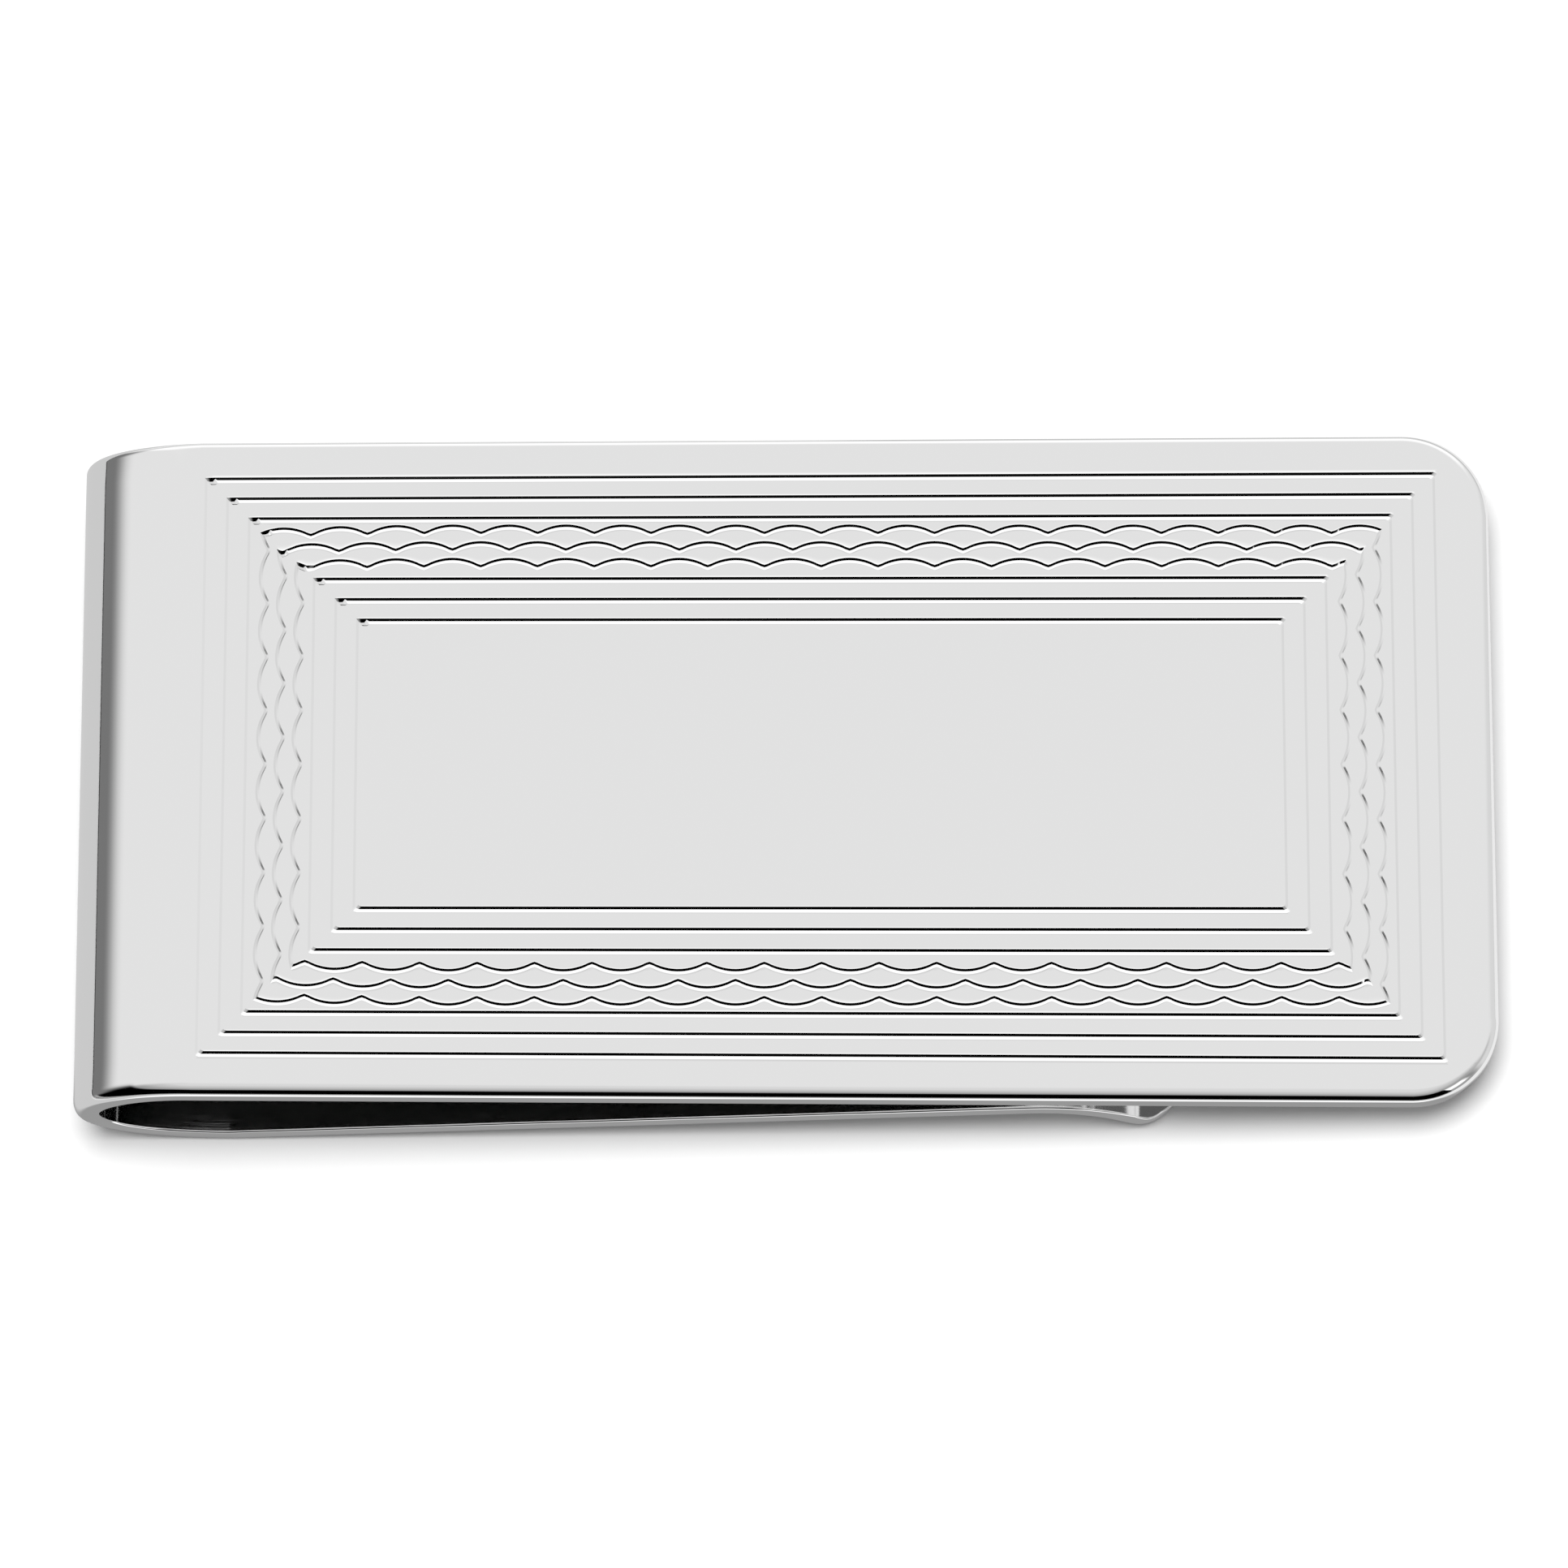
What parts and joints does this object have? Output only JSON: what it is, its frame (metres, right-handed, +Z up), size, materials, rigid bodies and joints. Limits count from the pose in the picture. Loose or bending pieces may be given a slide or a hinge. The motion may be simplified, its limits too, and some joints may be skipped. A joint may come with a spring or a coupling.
{
  "type": "money clip",
  "caption": "Folded metal strip with a wide engraved front plate, a springy bow and a clamp leg with a flared lip, holding folded banknotes by its own spring.",
  "frame": {"origin": "middle of the clip's footprint, on the plane that it lies on", "axes": "+X along the length, away from the bow; +Y across the width; +Z up from the surface that the clip lies on"},
  "size_m": [0.0508, 0.025, 0.0064],
  "materials": {
    "polished_metal": "mirror polished, with fine handling marks"
  },
  "bodies": {
    "leg": {"bow_heel": "polished_metal", "clamp_leg": "polished_metal", "grip_ridge": "polished_metal", "lead_in_lip": "polished_metal"},
    "lower_bow": {"bow_lower": "polished_metal"},
    "nose_bow": {"bow_nose": "polished_metal"},
    "upper_bow": {"bow_upper": "polished_metal"},
    "plate": {"bow_shoulder": "polished_metal", "front_plate": "polished_metal"}
  },
  "joints": [
    {"name": "flex_open", "type": "hinge", "parent": "leg", "child": "plate", "pos_m": [-0.02409, 0, 0.00311], "axis": [0, -1, 0], "range_deg": [0, 8], "stiffness_Nm_per_rad": 1, "springref_deg": -1.72},
    {"name": "flex_upper", "type": "hinge", "parent": "leg", "child": "upper_bow", "pos_m": [-0.02432, 0, 0.00211], "axis": [0, -1, 0], "range_deg": [0, 6]},
    {"name": "flex_nose", "type": "hinge", "parent": "leg", "child": "nose_bow", "pos_m": [-0.02379, 0, 0.00102], "axis": [0, -1, 0], "range_deg": [0, 4]},
    {"name": "flex_lower", "type": "hinge", "parent": "leg", "child": "lower_bow", "pos_m": [-0.02265, 0, 0.0003], "axis": [0, -1, 0], "range_deg": [0, 2]}
  ],
  "couplings": [
    {"joint": "flex_upper", "follows": "flex_open", "ratio": 0.75},
    {"joint": "flex_nose", "follows": "flex_open", "ratio": 0.5},
    {"joint": "flex_lower", "follows": "flex_open", "ratio": 0.25}
  ]
}
